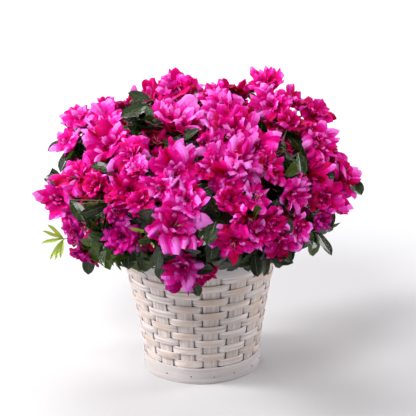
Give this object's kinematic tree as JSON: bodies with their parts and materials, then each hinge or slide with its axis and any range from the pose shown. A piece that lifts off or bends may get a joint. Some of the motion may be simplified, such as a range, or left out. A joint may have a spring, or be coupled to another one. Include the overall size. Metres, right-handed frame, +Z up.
{
  "type": "potted azalea in a woven basket",
  "caption": "Florist's azalea in full double bloom, potted in a flared whitewashed basket of woven wood splints that stands on a table, sill or shelf.",
  "frame": {"origin": "centre of the basket's flat underside, on the ground", "axes": "+Z up, -Y towards the side the plant shows, +X to the viewer's right"},
  "size_m": [0.3854, 0.3845, 0.3523],
  "materials": {
    "splint": "whitewashed wood splint, open grain",
    "hoop": "whitewashed bent wood hoop, smooth",
    "liner": "thin dark waterproof film",
    "soil": "moist peaty potting mix",
    "bark": "thin flaking brown bark",
    "bloom": "soft petals and glossy leaves"
  },
  "bodies": {
    "root": {"base_board": "splint", "base_hoop": "hoop", "rim_hoop_outer": "hoop", "rim_hoop_inner": "hoop", "stake_01": "splint", "stake_02": "splint", "stake_03": "splint", "stake_04": "splint", "stake_05": "splint", "stake_06": "splint", "stake_07": "splint", "stake_08": "splint", "stake_09": "splint", "stake_10": "splint", "stake_11": "splint", "stake_12": "splint", "stake_13": "splint", "stake_14": "splint", "stake_15": "splint", "stake_16": "splint", "weaver_01": "splint", "weaver_02": "splint", "weaver_03": "splint", "weaver_04": "splint", "weaver_05": "splint", "weaver_06": "splint", "weaver_07": "splint", "weaver_08": "splint", "weaver_09": "splint", "weaver_10": "splint", "weaver_11": "splint", "weaver_12": "splint", "weaver_13": "splint", "basket_liner": "liner", "potting_soil": "soil", "trunk": "bark", "bough_01": "bark", "bough_02": "bark", "bough_03": "bark", "bough_04": "bark", "bough_05": "bark", "bough_06": "bark", "bough_07": "bark", "bough_08": "bark", "bough_09": "bark", "bough_10": "bark", "bough_11": "bark", "bough_12": "bark", "flowering_mass_01": "bloom", "flowering_mass_02": "bloom", "flowering_mass_03": "bloom", "flowering_mass_04": "bloom", "flowering_mass_05": "bloom", "flowering_mass_06": "bloom", "flowering_mass_07": "bloom", "flowering_mass_08": "bloom", "flowering_mass_09": "bloom", "flowering_mass_10": "bloom", "flowering_mass_11": "bloom", "flowering_mass_12": "bloom"}
  },
  "joints": []
}
